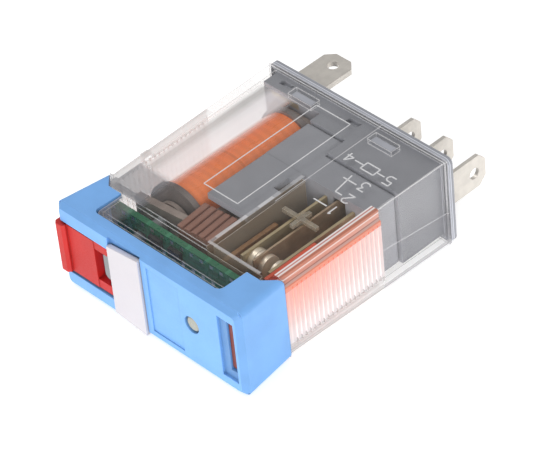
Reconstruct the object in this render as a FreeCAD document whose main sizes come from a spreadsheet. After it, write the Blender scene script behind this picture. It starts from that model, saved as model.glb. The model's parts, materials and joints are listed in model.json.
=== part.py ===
import FreeCAD, Part
import math
import os
import re

import Sketcher

# A plug-in relay, lying on one large face as it rests on a bench.
# Frame: +X across the width, +Y the way the blades plug in, +Z through the thickness.
# Origin: centre of the base's rear face, the plane that seats on the socket. Millimetres.

doc = FreeCAD.newDocument("plug_in_relay")
sheet = doc.addObject("Spreadsheet::Sheet", "Dimensions")

DIMENSIONS = {
    # envelope: every housing piece is centred on X and Z, so most sizes are half sizes
    "clearance": 0.05,
    "flange_half_width": 15.2, "flange_half_thick": 6.5, "flange_depth": 0.8,
    "flange_corner": 0.8,
    # clear cover: tapers a little from the flange to the front
    "cover_half_width_rear": 14.95, "cover_half_thick_rear": 6.35,
    "cover_half_width_front": 14.45, "cover_half_thick_front": 6.07,
    "cover_rim_half_width": 15.1, "cover_rim_half_thick": 6.43, "cover_rim_depth": 0.35,
    "cover_wall": 0.7, "cover_side_end": 28.15, "cover_shoulder_end": 30.0,
    "cover_shoulder_half_width_rear": 14.93, "cover_shoulder_half_width_front": 13.0,
    "cover_inner_end": 29.3, "nose_inner_end": 32.6,
    "nose_half_width": 13.95, "nose_half_thick": 5.4, "nose_end": 33.2,
    "tongue_end": 34.35, "tongue_half_width": 10.7, "tongue_root": 0.5, "tongue_corner": 0.8,
    "grip_start": 12.3, "grip_half_width": 15.05, "grip_ramp": 1.4, "grip_margin": 0.5,
    "grip_groove_pitch": 0.74, "grip_groove_depth": 0.18, "grip_groove_width": 0.28,
    "grip_groove_half_height": 4.3,
    "pip_half_width": 0.6, "pip_reach": 0.75, "pip_ahead": 22.0, "pip_high": 4.4,
    "partition_left": 3.2, "partition_thick": 0.6, "partition_rear": 13.6,
    "partition_right": 12.0, "partition_front_thick": 0.45,
    "window_width": 4.0, "window_height": 1.5, "window_rear": 2.2,
    "window_left_centre": -7.1, "window_right_centre": 6.6, "latch_gap": 0.3,
    # blue front cap: widest at the front, with ears along the narrow sides
    "cap_half_width_rear": 15.05, "cap_half_thick_rear": 6.2,
    "cap_half_width_front": 15.85, "cap_half_thick_front": 6.5,
    "cap_rear": 28.2, "cap_front": 36.4, "cap_front_wall": 1.1,
    "cap_inner_half_width_rear": 14.15, "cap_inner_half_thick_rear": 5.5,
    "cap_inner_half_width_front": 14.85, "cap_inner_half_thick_front": 5.7,
    "cap_bevel": 0.7, "cap_edge_round": 0.8, "cap_shoulder": 30.05,
    "cap_shoulder_half_width_rear": 15.0, "cap_shoulder_half_width_front": 13.1,
    "cap_notch_end": 34.5, "cap_notch_half_width": 10.85,
    "lever_bay_right": -6.55, "lever_bay_low": -4.1, "lever_bay_high": 3.9,
    "lever_bay_floor": 34.8, "lever_bay_wall": 0.7,
    "plate_recess_left": -6.55, "plate_recess_right": -0.85, "plate_recess_high": 5.95,
    "plate_recess_depth": 0.5, "panel_left": 0.1, "panel_right": 5.5,
    "panel_half_height": 5.0, "panel_depth": 0.15,
    "flag_bay_left": 12.1, "flag_bay_right": 14.75, "flag_bay_half_height": 4.6,
    "flag_bay_depth": 0.35, "flag_slot_left": 13.3, "flag_slot_right": 14.5,
    "flag_slot_low": -3.4, "flag_slot_high": 4.5,
    # label plate, lever and test plunger on the cap's front
    "plate_left": -6.4, "plate_right": -0.95, "plate_front": 36.75, "plate_thick": 0.65,
    "plate_high_left": 4.9, "plate_low_left": -5.6, "plate_high_right": 5.5,
    "plate_low_right": -6.2,
    "lever_pivot_across": -7.45, "lever_pivot_ahead": 35.6, "lever_pin_radius": 0.35,
    "lever_left": -14.2, "lever_right": -9.5, "lever_low": -3.75, "lever_high": 3.65,
    "lever_front": 36.3, "lever_back": 35.1, "lip_left": -15.85, "lip_front": 36.95,
    "lip_edge": 0.35, "lever_arm_inner": 2.4, "lever_arm_radius": 0.62,
    "plunger_across": -7.6, "plunger_half_width": 0.8, "plunger_centre_high": 0.3,
    "plunger_half_height": 2.0, "plunger_front": 35.9, "plunger_rear": 26.95,
    "guide_gap": 0.25,
    # status board and lamp behind the cap
    "board_front": 30.6, "board_thick": 0.8, "board_left": -12.6, "board_right": 11.6,
    "board_half_height": 4.5, "lamp_across": 7.4, "lamp_high": 0.3, "lamp_radius": 1.15,
    "lamp_front": 36.25, "lamp_dome": 0.4, "lamp_collar_radius": 1.6, "lamp_collar_end": 31.9,
    "chip_length": 2.0, "chip_width": 1.2, "chip_height": 0.55, "chip_first": -5.4,
    "chip_pitch": 3.4, "chip_row_high": 2.2, "chip_row_low": -3.2,
    # grey base
    "base_half_width": 13.9, "base_half_thick": 5.5, "coil_side_depth": 3.3,
    "coil_side_edge": -4.0, "step_left": 2.0, "step_rear": 5.0, "step_front": 8.1, "step_groove": 0.35,
    "base_front": 12.6, "base_lower_half_thick": 5.2, "base_lower_half_width": 13.5,
    "roof_left": -3.9, "roof_right": 2.9, "roof_front": 22.5,
    "roof_half_high": 5.25, "roof_half_low": 4.4, "roof_notch_left": 1.5,
    "roof_notch_rear": 14.2, "roof_notch_front": 16.7, "yoke_pocket_half_high": 3.75,
    "spring_pocket_left": 7.4, "spring_pocket_right": 9.4, "spring_pocket_rear": 5.1,
    "spring_pocket_low": -3.9, "spring_pocket_high": 4.4,
    "key_slot_width": 2.0, "key_slot_height": 0.8, "key_slot_rear": 1.5,
    "key_slot_depth": 0.6, "key_slot_left": -12.2, "key_slot_right": -0.6,
    # blades: 4.8 x 0.8 quick-connect tabs
    "blade_width": 4.8, "blade_thick": 0.8, "contact_blade_thick": 0.5, "blade_reach": 7.1,
    "blade_tip_cut": 1.1,
    "blade_hole_radius": 0.8, "blade_hole_back": 1.95,
    "blade_one_across": 2.6, "blade_two_across": 8.05, "blade_three_across": 13.4,
    "coil_blade_across": -10.2, "coil_blade_high": 4.4, "blade_root_one": 6.6,
    "blade_root_two": 5.0, "blade_root_three": 4.2,
    # contacts: springs stand in YZ planes and close along X
    "arm_thick": 0.4, "arm_low": -1.6, "arm_high": 3.9, "arm_front": 26.7,
    "nc_arm_left": 5.95, "no_arm_left": 10.6, "spring_thick": 0.3, "spring_low": -3.6,
    "spring_high": 4.1, "spring_front": 26.6, "spring_rear": 5.1, "spring_centre": 8.05,
    "rivet_radius": 1.5, "rivet_place": 24.7, "rivet_high": 2.2, "rivet_head": 0.7,
    "rivet_gap": 0.05, "contact_gap": 1.08, "rivet_shank_radius": 0.7,
    # magnet
    "coil_across": -7.6, "coil_rear": 4.8, "coil_front": 24.4, "bobbin_flange": 0.8,
    "bobbin_flange_radius": 5.1, "bobbin_tube_radius": 2.3, "bobbin_bore_radius": 1.8,
    "winding_radius": 4.45, "tape_thick": 0.2, "core_radius": 1.75,
    "pole_radius": 3.0, "pole_thick": 0.6, "shading_outer": 2.4, "shading_inner": 1.8,
    "shading_depth": 0.3,
    "yoke_left": -12.0, "yoke_right": -1.2, "yoke_thick": 1.2, "yoke_half_high": 3.6,
    "yoke_rear": 3.4, "yoke_front": 25.2,
    "armature_open_angle": 5.0, "armature_pivot_across": -1.8, "armature_left": -12.2,
    "armature_right": -1.4, "armature_gap": 0.05, "armature_thick": 1.0, "armature_half_high": 3.4,
    "armature_arm_left": -0.2, "armature_arm_right": 0.5, "armature_arm_rear": 16.5,
    "armature_arm_low": -3.4, "armature_arm_high": -1.9,
    "leaf_thick": 0.2, "leaf_rear": 14.0, "leaf_front": 27.1, "leaf_reach": -5.0,
    "leaf_low": -1.4, "leaf_high": 0.7,
    "actuator_left": -3.4, "actuator_right": 2.4, "actuator_front": 28.2,
    "actuator_low": 1.2, "actuator_high": 4.5, "actuator_rear": 23.2,
    "actuator_roof_low": 3.75, "actuator_groove": 0.3,
    "actuator_groove_pitch": 1.1, "lead_radius": 0.2, "lead_across": -9.6,
    "lead_high": 4.3,
    # card, indicator flag and contact carrier
    "card_left": -0.1, "card_front": 18.3, "card_rear": 17.0, "card_low": -3.5,
    "card_high": -2.0, "card_spring_gap": 0.05, "card_post_left": 6.9,
    "cross_low": 4.3, "cross_high": 4.85, "cross_left": 4.6, "cross_right": 10.3,
    "cross_bar": 0.55, "cross_front": 19.8, "cross_rear": 16.6, "cross_ahead": 18.1,
    "cross_across": 7.6, "runner_low": -4.4, "runner_high": -3.75,
    "runner_right": 11.4, "peg_across": 10.9, "peg_ahead": 17.65, "peg_radius": 0.35,
    "peg_high": -3.0, "flag_left": 12.2, "flag_thick": 0.5, "flag_rear": 14.0,
    "flag_low": -3.6, "flag_high": 5.2, "flag_neck_start": 28.8, "flag_neck_high": 4.3,
    "flag_jog_front": 35.1, "flag_jog_thick": 0.5, "flag_tip_front": 35.8,
    "flag_tip_low": -3.1, "flag_tip_gap": 0.1, "flag_foot_left": 10.2,
    "flag_tail_start": 20.5, "flag_tail_high": 3.9,
    "flag_foot_thick": 0.5, "flag_foot_front": 20.2, "flag_foot_rear": 15.2,
    "flag_travel": 1.2, "card_travel": 0.64, "peg_slot_gap": 0.1,
    "carrier_left": 4.1, "carrier_right": 12.0, "carrier_front": 28.6,
    "carrier_rear": 12.75, "carrier_low": -5.2, "carrier_high": -4.5,
    "carrier_rib_high": 1.6, "carrier_rib_thick": 0.6, "carrier_side_high": 3.0,
    "carrier_side_rear": 19.3,
}

for row, (alias, value) in enumerate(DIMENSIONS.items(), start=1):
    sheet.set(f"A{row}", alias)
    sheet.set(f"B{row}", str(value))
    sheet.setAlias(f"B{row}", alias)
doc.recompute()


def bound(formula):
    """Point every dimension name in a formula at its cell of the sheet."""
    def point(word):
        name = word.group(0)
        return "Dimensions." + name if name in DIMENSIONS else name
    return re.sub(r"[A-Za-z_]\w*", point, str(formula))


def size(alias):
    return DIMENSIONS[alias]


def block(name, x, y, z):
    """A box between pairs of bounds (low, high), each a formula of dimensions."""
    box = doc.addObject("Part::Box", name)
    for side, axis, (low, high) in zip(("Length", "Width", "Height"), "xyz", (x, y, z)):
        box.setExpression(side, bound(f"({high}) - ({low})"))
        box.setExpression(f"Placement.Base.{axis}", bound(low))
    return box


def taper(name, rear, front, rear_half, front_half):
    """A centred four-sided frustum along Y; each half is a pair (half width, half thickness)."""
    wedge = doc.addObject("Part::Wedge", name)
    ends = {"Xmin": f"-({front_half[0]})", "Xmax": front_half[0],
            "Zmin": f"-({front_half[1]})", "Zmax": front_half[1],
            "X2min": f"-({rear_half[0]})", "X2max": rear_half[0],
            "Z2min": f"-({rear_half[1]})", "Z2max": rear_half[1],
            "Ymin": f"-({front})", "Ymax": f"-({rear})"}
    for side, formula in ends.items():
        wedge.setExpression(side, bound(formula))
    return wedge


TURN_TO_AXIS = {
    "x": FreeCAD.Rotation(FreeCAD.Vector(0, 1, 0), 90),
    "y": FreeCAD.Rotation(FreeCAD.Vector(1, 0, 0), -90),
    "z": FreeCAD.Rotation(),
}


def rod(name, axis, start, end, centre, radius):
    """A cylinder along one axis between two bounds; centre holds the other two coordinates."""
    cylinder = doc.addObject("Part::Cylinder", name)
    cylinder.Placement = FreeCAD.Placement(FreeCAD.Vector(), TURN_TO_AXIS[axis])
    cylinder.setExpression("Radius", bound(radius))
    cylinder.setExpression("Height", bound(f"({end}) - ({start})"))
    others = [letter for letter in "xyz" if letter != axis]
    cylinder.setExpression(f"Placement.Base.{axis}", bound(start))
    for other, formula in zip(others, centre):
        cylinder.setExpression(f"Placement.Base.{other}", bound(formula))
    return cylinder


def fuse(name, *pieces):
    union = doc.addObject("Part::MultiFuse", name)
    union.Shapes = list(pieces)
    union.Refine = True
    return union


def group(name, *pieces):
    """Separate solids that share one node."""
    compound = doc.addObject("Part::Compound", name)
    compound.Links = list(pieces)
    return compound


def cut(name, base, *tools):
    difference = doc.addObject("Part::Cut", name)
    difference.Base = base
    difference.Tool = tools[0] if len(tools) == 1 else group(name + "_tools", *tools)
    difference.Refine = True
    return difference


def dress(kind, name, base, amount, wanted):
    """Fillet or chamfer the base's straight edges that the test picks out."""
    doc.recompute()
    feature = doc.addObject(kind, name)
    feature.Base = base
    picks = [i for i, edge in enumerate(base.Shape.Edges, start=1) if wanted(edge)]
    feature.Edges = [(i, size(amount), size(amount)) for i in picks]
    return feature


def runs_along(axis):
    """A test for edges whose direction is mostly along an axis."""
    def wanted(edge):
        step = edge.Vertexes[-1].Point - edge.Vertexes[0].Point
        return step.Length > 0 and abs(getattr(step, axis)) > 0.95 * step.Length
    return wanted


def both_faces(name, x, y, z):
    """The same box on the upper and the lower large face; z is given for the upper one."""
    low, high = z
    return (block(name + "_upper", x, y, (low, high)),
            block(name + "_lower", x, y, (f"-({high})", f"-({low})")))


def outline_body(name, plane, points, depth):
    """A PartDesign body: a closed outline on an origin plane, padded evenly to both sides."""
    body = doc.addObject("PartDesign::Body", name)
    sketch = body.newObject("Sketcher::SketchObject", name + "_outline")
    role = next(item for item in body.Origin.OriginFeatures if item.Role == plane)
    sketch.AttachmentSupport = (role, [""])
    sketch.MapMode = "FlatFace"
    corners = [[float(sheet.evalExpression(value)) for value in point] for point in points]
    count = len(corners)
    for i, corner in enumerate(corners):
        following = corners[(i + 1) % count]
        sketch.addGeometry(Part.LineSegment(FreeCAD.Vector(*corner, 0),
                                            FreeCAD.Vector(*following, 0)), False)
    for i in range(count):
        sketch.addConstraint(Sketcher.Constraint("Coincident", i, 2, (i + 1) % count, 1))
    for i, (point, corner) in enumerate(zip(points, corners)):
        for kind, formula, value in zip(("DistanceX", "DistanceY"), point, corner):
            index = sketch.addConstraint(Sketcher.Constraint(kind, i, 1, value))
            sketch.setExpression(f"Constraints[{index}]", bound(formula))
    pad = body.newObject("PartDesign::Pad", name + "_pad")
    pad.Profile = sketch
    pad.SideType = "Symmetric"
    pad.setExpression("Length", bound(depth))
    return body


def centred(half):
    return f"-({half})", half


def ahead(front, rear):
    """Y bounds from two distances in front of the seating plane."""
    return f"-({front})", f"-({rear})"


# ---------------------------------------------------------------- blades and terminals

def blade(name, plane, root, thick):
    """A quick-connect blade with a cut-back tip and a latching hole, centred on its plane."""
    half, shoulder = "blade_width / 2", "blade_reach - blade_tip_cut"
    along = [(f"-({root})", f"-({half})"), (shoulder, f"-({half})"),
             ("blade_reach", f"blade_tip_cut - {half}"),
             ("blade_reach", f"{half} - blade_tip_cut"),
             (shoulder, half), (f"-({root})", half)]
    points = along if plane == "YZ_Plane" else [(side, length) for length, side in along]
    return outline_body(name, plane, points, thick)


def contact_blade(name, across, root):
    body = blade(name + "_blade", "YZ_Plane", root, "contact_blade_thick")
    body.setExpression("Placement.Base.x", bound(across))
    hole = rod(name + "_hole", "x", f"{across} - blade_thick", f"{across} + blade_thick",
               ("blade_reach - blade_hole_back", "0"), "blade_hole_radius")
    return cut(name + "_drilled", body, hole)


def contact_terminal(name, across, root, arm_left):
    """A blade that steps sideways inside the base and runs on as a fixed contact arm."""
    low_x, high_x = (across, f"{arm_left} + arm_thick")
    if sheet.evalExpression(f"{across} - {arm_left}") > 0:
        low_x, high_x = arm_left, across
    high = ("arm_low", "arm_high")
    step_rear = f"{root} - contact_blade_thick"
    step = block(name + "_step", (low_x, high_x), ahead(root, step_rear), high)
    arm = block(name + "_arm", (arm_left, f"{arm_left} + arm_thick"),
                ahead("arm_front", step_rear), high)
    return fuse(name, contact_blade(name, across, root), step, arm)


def coil_terminal(name, high):
    body = blade(name + "_blade", "XY_Plane", "coil_side_depth", "blade_thick")
    body.setExpression("Placement.Base.x", bound("coil_blade_across"))
    body.setExpression("Placement.Base.z", bound(high))
    hole = rod(name + "_hole", "z", f"{high} - blade_thick", f"{high} + blade_thick",
               ("coil_blade_across", "blade_reach - blade_hole_back"), "blade_hole_radius")
    return cut(name, body, hole)


terminal_1 = contact_terminal("terminal_1", "blade_one_across", "blade_root_one", "nc_arm_left")
terminal_2 = contact_blade("terminal_2", "blade_two_across", "blade_root_two")
terminal_3 = contact_terminal("terminal_3", "blade_three_across", "blade_root_three",
                              "no_arm_left")
terminal_4 = coil_terminal("terminal_4", "coil_blade_high")
terminal_5 = coil_terminal("terminal_5", "-coil_blade_high")
blades = [terminal_1, terminal_2, terminal_3, terminal_4, terminal_5]


# ---------------------------------------------------------------- contacts

SPRING_LEFT = "spring_centre - spring_thick / 2"
SPRING_RIGHT = "spring_centre + spring_thick / 2"
RIVET_CENTRE = ("-rivet_place", "rivet_high")


def rivet_head(name, start, end):
    return rod(name, "x", start, end, RIVET_CENTRE, "rivet_radius")


def moving_contact_rivet():
    left = rivet_head("moving_head_left", f"{SPRING_LEFT} - rivet_head", SPRING_LEFT)
    right = rivet_head("moving_head_right", SPRING_RIGHT, f"{SPRING_RIGHT} + rivet_head")
    shank = rod("moving_shank", "x", SPRING_LEFT, SPRING_RIGHT, RIVET_CENTRE,
                "rivet_shank_radius")
    return fuse("moving_contact", left, shank, right)


nc_contact = rivet_head("nc_contact", "nc_arm_left + arm_thick",
                        f"{SPRING_LEFT} - rivet_head - rivet_gap")
no_contact = rivet_head("no_contact", f"{SPRING_RIGHT} + rivet_head + contact_gap",
                        "no_arm_left")
moving_contact = moving_contact_rivet()
moving_spring = cut(
    "moving_spring",
    block("spring_strip", (SPRING_LEFT, SPRING_RIGHT), ahead("spring_front", "spring_rear"),
          ("spring_low", "spring_high")),
    rod("spring_hole", "x", f"{SPRING_LEFT} - spring_thick", f"{SPRING_RIGHT} + spring_thick",
        RIVET_CENTRE, "rivet_shank_radius"))


# ---------------------------------------------------------------- grey base

def window_bounds(centre, inset):
    """A latch window, or the catch that fills it, inset on every side."""
    across = (f"{centre} - window_width / 2 + {inset}", f"{centre} + window_width / 2 - {inset}")
    along = ahead(f"window_rear + window_height - {inset}", f"window_rear + {inset}")
    return across, along


def base():
    flange = dress("Part::Fillet", "flange", block(
        "flange_blank", centred("flange_half_width"), ahead("flange_depth", "0"),
        centred("flange_half_thick")), "flange_corner", runs_along("y"))
    full, lower = centred("base_half_thick"), centred("base_lower_half_thick")
    catches = []
    for side, centre in (("left", "window_left_centre"), ("right", "window_right_centre")):
        across, along = window_bounds(centre, "latch_gap")
        catches += both_faces(f"catch_{side}", across, along,
                              ("base_half_thick", "cover_half_thick_rear - latch_gap"))
    solid = fuse(
        "base_blank", flange,
        block("coil_side", centred("base_half_width"), ahead("coil_side_depth", "flange_depth"),
              full),
        block("middle_step", ("coil_side_edge", "step_left"), ahead("step_rear", "flange_depth"),
              full),
        block("contact_step", ("step_left", "base_half_width"),
              ahead("step_front", "flange_depth"), full),
        block("front_step", ("coil_side_edge", "base_lower_half_width"),
              ahead("base_front", "flange_depth"), lower),
        *both_faces("yoke_cheek", ("roof_left", "roof_right"), ahead("roof_front", "base_front"),
                    ("roof_half_low", "roof_half_high")),
        *catches)
    pockets = [
        block("yoke_pocket", ("coil_side_edge - clearance", "yoke_right + clearance"),
              ahead("base_front", "yoke_rear - clearance"), centred("yoke_pocket_half_high")),
        block("spring_pocket", ("spring_pocket_left", "spring_pocket_right"),
              ahead("base_front", "spring_pocket_rear - clearance"),
              ("spring_pocket_low", "spring_pocket_high")),
        block("roof_notch", ("roof_notch_left", "roof_right"),
              ahead("roof_notch_front", "roof_notch_rear"), ("roof_half_low", "roof_half_high")),
    ]
    groove_high = ("base_lower_half_thick - step_groove", "base_half_thick")
    before_contact_step = ahead("step_front + step_groove", "step_front")
    pockets += both_faces("contact_groove", ("step_left", "base_half_width"),
                          before_contact_step, groove_high)
    pockets += both_faces("middle_groove", ("coil_side_edge", "step_left"),
                          ahead("step_rear + step_groove", "step_rear"), groove_high)
    pockets.append(block("side_groove", ("base_lower_half_width - step_groove",
                                         "base_half_width"), before_contact_step, full))
    for side in ("left", "right"):
        pockets += both_faces(
            f"key_slot_{side}", (f"key_slot_{side}", f"key_slot_{side} + key_slot_width"),
            ahead("key_slot_rear + key_slot_height", "key_slot_rear"),
            ("base_half_thick - key_slot_depth", "base_half_thick"))
    return cut("base_frame", solid, *pockets, *blades)


base_frame = base()


# ---------------------------------------------------------------- clear cover

def grip(side, sign):
    """The ribbed grip panel on one narrow side, ramped towards both large faces."""
    inner = "cover_half_width_front - 2 * cover_wall"
    bounds = (inner, "grip_half_width") if sign > 0 else ("-grip_half_width", f"-({inner})")
    panel = block(f"grip_{side}_blank", bounds, ahead("cover_side_end", "grip_start"),
                  centred("cover_half_thick_front"))

    def outer_long_edge(edge):
        return runs_along("y")(edge) and sign * edge.CenterOfMass.x > size("grip_half_width") - 0.1

    ramped = dress("Part::Chamfer", f"grip_{side}_ramp", panel, "grip_ramp", outer_long_edge)
    start, end = size("grip_start") + size("grip_margin"), size("cover_side_end")
    count = int((end - start) / size("grip_groove_pitch"))
    face = ("grip_half_width - grip_groove_depth", "grip_half_width")
    if sign < 0:
        face = ("-grip_half_width", "grip_groove_depth - grip_half_width")
    grooves = [block(f"grip_{side}_groove_{i}", face,
                     ahead(f"grip_start + grip_margin + {i} * grip_groove_pitch"
                           " + grip_groove_width",
                           f"grip_start + grip_margin + {i} * grip_groove_pitch"),
                     centred("grip_groove_half_height")) for i in range(count)]
    return cut(f"grip_{side}", ramped, *grooves)


def cover():
    rear_half = ("cover_half_width_rear", "cover_half_thick_rear")
    front_half = ("cover_half_width_front", "cover_half_thick_front")
    shell = taper("cover_skin", "flange_depth", "cover_side_end", rear_half, front_half)
    shoulder = taper("cover_shoulder", "cover_side_end", "cover_shoulder_end",
                     ("cover_shoulder_half_width_rear", "cover_half_thick_front"),
                     ("cover_shoulder_half_width_front", "cover_half_thick_front"))
    nose_half = ("nose_half_width", "nose_half_thick")
    nose = taper("cover_nose", "cover_shoulder_end", "nose_end", nose_half, nose_half)
    tongues = [dress("Part::Fillet", piece.Name + "_rounded", piece, "tongue_corner",
                     lambda edge: runs_along("z")(edge)
                     and edge.CenterOfMass.y < -size("nose_end"))
               for piece in both_faces("tongue", centred("tongue_half_width"),
                                       ahead("tongue_end", "cover_shoulder_end"),
                                       ("nose_half_thick - tongue_root",
                                        "cover_half_thick_front"))]
    pip = block("cover_pip", ("-grip_half_width - pip_reach", "-grip_half_width"),
                ahead("pip_ahead + pip_half_width", "pip_ahead - pip_half_width"),
                ("pip_high - pip_half_width", "pip_high + pip_half_width"))
    rim = block("cover_rim", centred("cover_rim_half_width"),
                ahead("flange_depth + cover_rim_depth", "flange_depth"),
                centred("cover_rim_half_thick"))
    outside = fuse("cover_outside", shell, rim, shoulder, nose, *tongues, pip,
                   grip("right", 1), grip("left", -1))

    def inside(half):
        return tuple(f"{name} - cover_wall" for name in half)

    cavity = taper("cover_cavity", "flange_depth", "cover_inner_end", inside(rear_half),
                   inside(front_half))
    nose_cavity = taper("nose_cavity", "cover_inner_end", "nose_inner_end", inside(nose_half),
                        inside(nose_half))
    windows = [block(f"window_{side}", *window_bounds(centre, "0"),
                     centred("cover_half_thick_rear"))
               for side, centre in (("left", "window_left_centre"),
                                    ("right", "window_right_centre"))]
    front_wall = ahead("nose_end", "nose_inner_end")
    openings = [
        rod("nose_lamp_hole", "y", *front_wall, ("lamp_across", "lamp_high"),
            "lamp_radius + guide_gap"),
        plunger_opening("nose_plunger_hole", front_wall),
        block("nose_flag_slot", ("flag_left - guide_gap", "flag_left + flag_thick + guide_gap"),
              front_wall, ("flag_low - guide_gap", "flag_neck_high + guide_gap")),
    ]
    hollow = cut("cover_hollow", outside, cavity, nose_cavity, *windows, *openings)
    height = centred("cover_half_thick_front - cover_wall / 2")
    side_wall = block("partition_side", ("partition_left", "partition_left + partition_thick"),
                      ahead("cover_inner_end", "partition_rear"), height)
    end_wall = block("partition_end", ("partition_left", "partition_right"),
                     ahead("cover_inner_end", "cover_inner_end - partition_front_thick"), height)
    card_window = block(
        "card_window", ("partition_left - clearance", "partition_left + partition_thick"
                        " + clearance"),
        ahead("card_front + 2 * guide_gap", "card_rear - 2 * guide_gap"),
        ("card_low - guide_gap", "card_high + guide_gap"))
    return fuse("clear_cover", hollow, cut("partition_windowed", side_wall, card_window),
                end_wall)


def plunger_opening(name, along):
    """A clearance opening for the test plunger through one wall."""
    half_width, half_height = "plunger_half_width + guide_gap", "plunger_half_height + guide_gap"
    return block(name, (f"plunger_across - ({half_width})", f"plunger_across + {half_width}"),
                 along, (f"plunger_centre_high - ({half_height})",
                         f"plunger_centre_high + {half_height}"))


clear_cover = cover()


# ---------------------------------------------------------------- lever, pins and plunger

PIVOT = ("lever_pivot_across", "-lever_pivot_ahead")
ARM_SPANS = {"upper": ("lever_arm_inner", "lever_high"),
             "lower": ("lever_low", "-lever_arm_inner")}


def lever_pins():
    upper = rod("pin_upper", "z", "lever_arm_inner", "lever_bay_high + lever_bay_wall - clearance",
                PIVOT, "lever_pin_radius")
    lower = rod("pin_lower", "z", "lever_bay_low - lever_bay_wall + clearance",
                "-lever_arm_inner", PIVOT, "lever_pin_radius")
    return [upper, lower]


def lever():
    plate = block("lever_plate", ("lever_left", "lever_right"), ahead("lever_front", "lever_back"),
                  ("lever_low", "lever_high"))
    lip = dress("Part::Chamfer", "lever_lip", block(
        "lever_lip_blank", ("lip_left", "lever_left"), ahead("lip_front", "lever_back"),
        ("lever_low", "lever_high")), "lip_edge",
        lambda edge: runs_along("z")(edge) and edge.CenterOfMass.y < -size("lever_front"))
    arms, holes = [], []
    for side, span in ARM_SPANS.items():
        arms.append(block(f"lever_arm_{side}", ("lever_right", "lever_pivot_across"),
                          ahead("lever_pivot_ahead + lever_arm_radius",
                                "lever_pivot_ahead - lever_arm_radius"), span))
        arms.append(rod(f"lever_eye_{side}", "z", *span, PIVOT, "lever_arm_radius"))
        holes.append(rod(f"lever_hole_{side}", "z", *span, PIVOT, "lever_pin_radius + clearance"))
    return cut("lock_lever", fuse("lever_blank", plate, lip, *arms), *holes)


def oval_prism(name, along, grow="0"):
    """The test plunger's oval section, swept between two Y bounds."""
    radius = f"plunger_half_width + {grow}"
    offset = "plunger_half_height - plunger_half_width"
    ends = [rod(f"{name}_end_{i}", "y", *along,
                ("plunger_across", f"plunger_centre_high {sign} ({offset})"), radius)
            for i, sign in enumerate("+-")]
    middle = block(f"{name}_middle", (f"plunger_across - ({radius})",
                                      f"plunger_across + {radius}"), along,
                   (f"plunger_centre_high - ({offset})", f"plunger_centre_high + {offset}"))
    return fuse(name, middle, *ends)


pins = lever_pins()
lever_pin = group("lever_pin", *pins)
lock_lever = lever()
test_plunger = oval_prism("test_plunger", ahead("plunger_front", "plunger_rear"))


# ---------------------------------------------------------------- blue front cap

BEYOND = "cap_front + 1"


def front_cap_shell():
    """The cap's outside: a flared body, then a bevelled front, with the long edges rounded."""
    widest = ("cap_half_width_front", "cap_half_thick_front")
    flared = taper("cap_flared", "cap_rear", "cap_front - cap_bevel",
                   ("cap_half_width_rear", "cap_half_thick_rear"), widest)
    bevelled = taper("cap_bevelled", "cap_front - cap_bevel", "cap_front", widest,
                     tuple(f"{name} - cap_bevel" for name in widest))

    def leads_forward(edge):
        step = edge.Vertexes[-1].Point - edge.Vertexes[0].Point
        at_rear = edge.CenterOfMass.y > size("clearance") - size("cap_rear")
        return abs(step.y) > size("clearance") or (at_rear and abs(step.z) > abs(step.x))

    return dress("Part::Fillet", "cap_rounded", fuse("cap_blank", flared, bevelled),
                 "cap_edge_round", leads_forward)


def cap():
    cavity = taper("cap_cavity", "cap_rear", "cap_front - cap_front_wall",
                   ("cap_inner_half_width_rear", "cap_inner_half_thick_rear"),
                   ("cap_inner_half_width_front", "cap_inner_half_thick_front"))
    shoulder_cut = taper("cap_shoulder_cut", "cap_rear", "cap_shoulder",
                         ("cap_shoulder_half_width_rear", "cap_half_thick_front"),
                         ("cap_shoulder_half_width_front", "cap_half_thick_front"))
    notch = dress("Part::Fillet", "cap_notch", block(
        "cap_notch_blank", centred("cap_notch_half_width"),
        ahead("cap_notch_end", "cap_shoulder"), centred("cap_half_thick_front")), "tongue_corner",
        lambda edge: runs_along("z")(edge) and edge.CenterOfMass.y < -size("cap_shoulder"))
    hollow = cut("cap_hollow", front_cap_shell(), cavity, shoulder_cut, notch)
    tub = block("lever_tub", ("-cap_inner_half_width_front - clearance",
                              "lever_bay_right + lever_bay_wall"),
                ahead("cap_front - cap_front_wall / 2", "lever_bay_floor - lever_bay_wall"),
                ("lever_bay_low - lever_bay_wall", "lever_bay_high + lever_bay_wall"))
    bay = block("lever_bay", ("-cap_half_width_front - 1", "lever_bay_right"),
                ahead(BEYOND, "lever_bay_floor"), ("lever_bay_low", "lever_bay_high"))
    plate_recess = block("plate_recess", ("plate_recess_left", "plate_recess_right"),
                         ahead(BEYOND, "cap_front - plate_recess_depth"),
                         ("-cap_half_thick_front", "plate_recess_high"))
    panel = block("panel_recess", ("panel_left", "panel_right"),
                  ahead(BEYOND, "cap_front - panel_depth"), centred("panel_half_height"))
    flag_bay = block("flag_bay", ("flag_bay_left", "flag_bay_right"),
                     ahead(BEYOND, "cap_front - flag_bay_depth"),
                     centred("flag_bay_half_height"))
    flag_slot = block("flag_slot", ("flag_slot_left", "flag_slot_right"),
                      ahead(BEYOND, "cap_front - cap_front_wall"),
                      ("flag_slot_low", "flag_slot_high"))
    lamp_hole = rod("cap_lamp_hole", "y", *ahead(BEYOND, "cap_front - cap_front_wall"),
                    ("lamp_across", "lamp_high"), "lamp_radius + clearance")
    guide = oval_prism("plunger_guide", ahead(BEYOND, "lever_bay_floor - lever_bay_wall"),
                       "guide_gap / 2")
    return cut("front_cap", fuse("cap_with_tub", hollow, tub), bay, plate_recess, panel,
               flag_bay, flag_slot, lamp_hole, guide, *pins)


front_cap = cap()


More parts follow.
